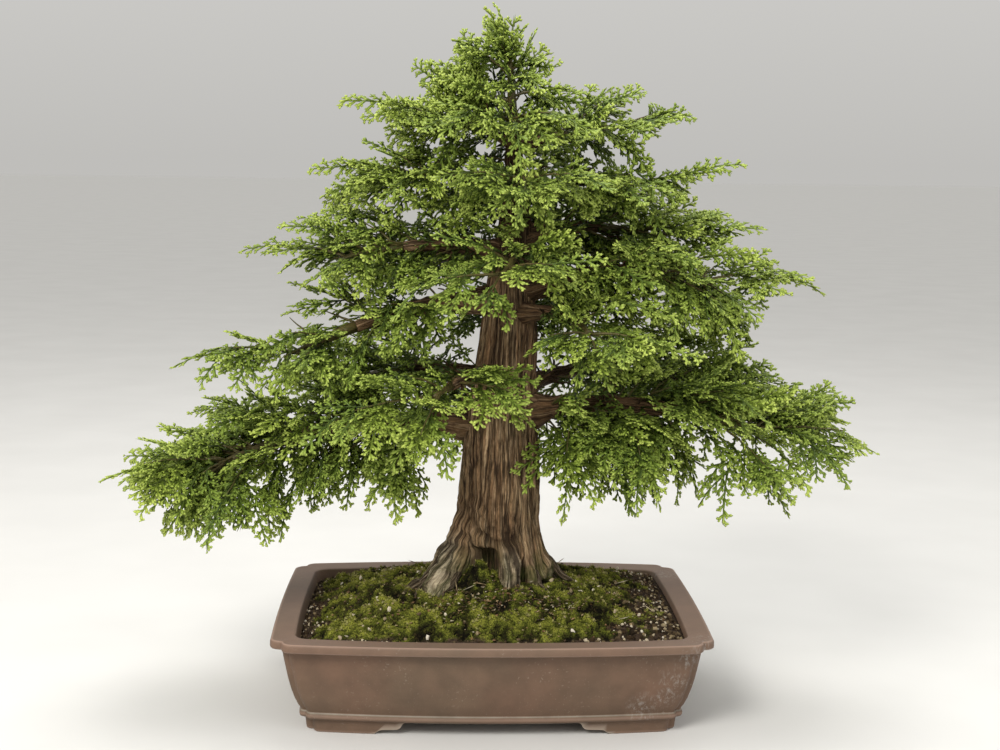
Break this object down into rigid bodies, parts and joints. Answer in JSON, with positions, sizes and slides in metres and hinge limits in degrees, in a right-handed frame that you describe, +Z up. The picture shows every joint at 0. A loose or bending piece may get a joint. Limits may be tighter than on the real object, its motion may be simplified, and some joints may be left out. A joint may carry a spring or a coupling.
{
  "type": "lawson cypress bonsai",
  "caption": "Conical cypress bonsai with layered leafy pads on a tapering flared trunk, in a footed rectangular clay pot with indented corners.",
  "frame": {"origin": "on the ground under the middle of the whole object's box; the pot's own middle is 3.8 mm left and 39 mm in front of it", "axes": "+Z up; +X to the right along the pot's long side; +Y to the back, away from the front view"},
  "size_m": [0.7296, 0.4196, 0.6636],
  "materials": {
    "clay": "matt unglazed brown stoneware",
    "soil": "moss over dark grit",
    "screen": "black plastic mesh",
    "bark": "fissured fibrous bark",
    "foliage": "scale-leaved green sprays"
  },
  "bodies": {
    "root": {"apex": "foliage", "back_high": "foliage", "back_low": "foliage", "back_low_left": "foliage", "back_low_right": "foliage", "back_mid": "foliage", "back_mid_left": "foliage", "back_upper": "foliage", "back_upper_right": "foliage", "drain_screen_left": "screen", "drain_screen_right": "screen", "front_high": "foliage", "front_left": "foliage", "front_left_spur_1": "foliage", "front_mid": "foliage", "front_right": "foliage", "front_top": "foliage", "high_left": "foliage", "high_right": "foliage", "low_left": "foliage", "low_left_back": "foliage", "low_left_front": "foliage", "low_left_spur_1": "foliage", "low_left_spur_2": "foliage", "low_right": "foliage", "low_right_front": "foliage", "low_right_hanging": "foliage", "low_right_spur_1": "foliage", "low_right_spur_2": "foliage", "mid_left": "foliage", "mid_left_front": "foliage", "mid_left_spur_1": "foliage", "mid_right": "foliage", "mid_right_front": "foliage", "mid_right_spur_1": "foliage", "pot": "clay", "soil": "soil", "top_left": "foliage", "top_right": "foliage", "trunk_and_branches": "bark", "upper_left": "foliage", "upper_left_spur_1": "foliage", "upper_right": "foliage", "upper_right_spur_1": "foliage"}
  },
  "joints": []
}
